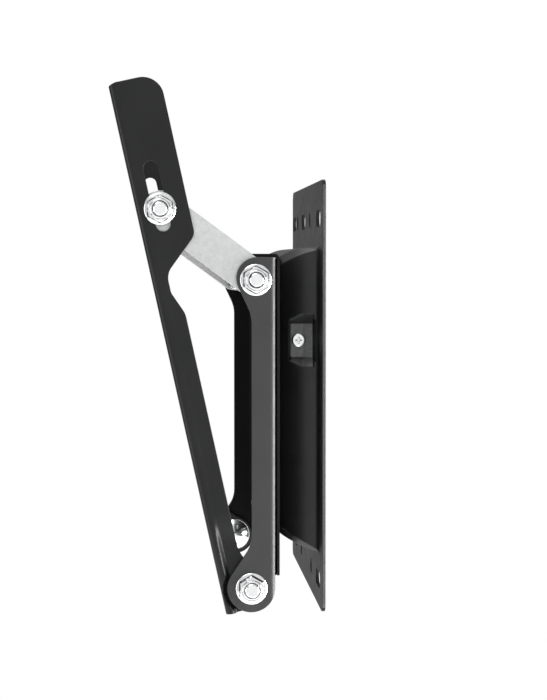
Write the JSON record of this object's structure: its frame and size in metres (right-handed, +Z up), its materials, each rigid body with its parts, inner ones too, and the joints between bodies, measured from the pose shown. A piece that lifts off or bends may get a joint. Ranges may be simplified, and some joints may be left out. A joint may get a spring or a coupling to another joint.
{
  "type": "tilting tv wall mount",
  "caption": "Tilting wall mount for a flat screen: a wall plate with a drawn box, a U-shaped cradle, and slotted rails that tilt on pivots and swinging links.",
  "frame": {"origin": "on the back of the wall plate, on its centre line, level with the upper row of wall holes", "axes": "X along the wall, +X to the right as seen from the room; +Y into the wall; +Z up"},
  "size_m": [0.2428, 0.1213, 0.302],
  "materials": {
    "black_paint": "semi-gloss black powder coat",
    "zinc": "bright zinc plate",
    "galvanised": "dull zinc plate with a fine mottle",
    "nylon": "natural nylon"
  },
  "bodies": {
    "wall_side": {"wall_plate": "black_paint", "hanger_plate": "black_paint", "cradle_channel": "black_paint", "cradle_rivets": "zinc", "lock_screw_right": "zinc", "lock_screw_left": "zinc", "lock_nut_right": "zinc", "lock_nut_left": "zinc", "lower_bolt_right": "zinc", "lower_bolt_left": "zinc", "lower_nut_right": "zinc", "lower_nut_left": "zinc", "lower_washer_right": "nylon", "lower_washer_left": "nylon", "upper_bolt_right": "zinc", "upper_bolt_left": "zinc", "upper_nut_right": "zinc", "upper_nut_left": "zinc", "upper_washer_right": "nylon", "upper_washer_left": "nylon"},
    "right_rail": {"rail_right": "black_paint"},
    "right_link": {"link_right": "galvanised", "slot_bolt_right": "zinc", "slot_nut_right": "zinc", "slot_washer_right": "zinc", "glide_washer_right": "nylon"},
    "left_rail": {"rail_left": "black_paint"},
    "left_link": {"link_left": "galvanised", "slot_bolt_left": "zinc", "slot_nut_left": "zinc", "slot_washer_left": "zinc", "glide_washer_left": "nylon"}
  },
  "joints": [
    {"name": "right_tilt", "type": "hinge", "parent": "wall_side", "child": "right_rail", "pos_m": [0.106, -0.042, -0.209], "axis": [1, 0, 0], "range_deg": [-5, 2]},
    {"name": "left_tilt", "type": "hinge", "parent": "wall_side", "child": "left_rail", "pos_m": [-0.106, -0.042, -0.209], "axis": [1, 0, 0], "range_deg": [-5, 2]},
    {"name": "right_link_swing", "type": "hinge", "parent": "wall_side", "child": "right_link", "pos_m": [0.1055, -0.0395, -0.035], "axis": [1, 0, 0], "range_deg": [-21.5, 8.6]},
    {"name": "left_link_swing", "type": "hinge", "parent": "wall_side", "child": "left_link", "pos_m": [-0.1055, -0.0395, -0.035], "axis": [1, 0, 0], "range_deg": [-21.5, 8.6]}
  ],
  "couplings": [
    {"joint": "left_tilt", "follows": "right_tilt", "ratio": 1},
    {"joint": "right_link_swing", "follows": "right_tilt", "ratio": 4.2},
    {"joint": "left_link_swing", "follows": "right_tilt", "ratio": 4.2}
  ]
}
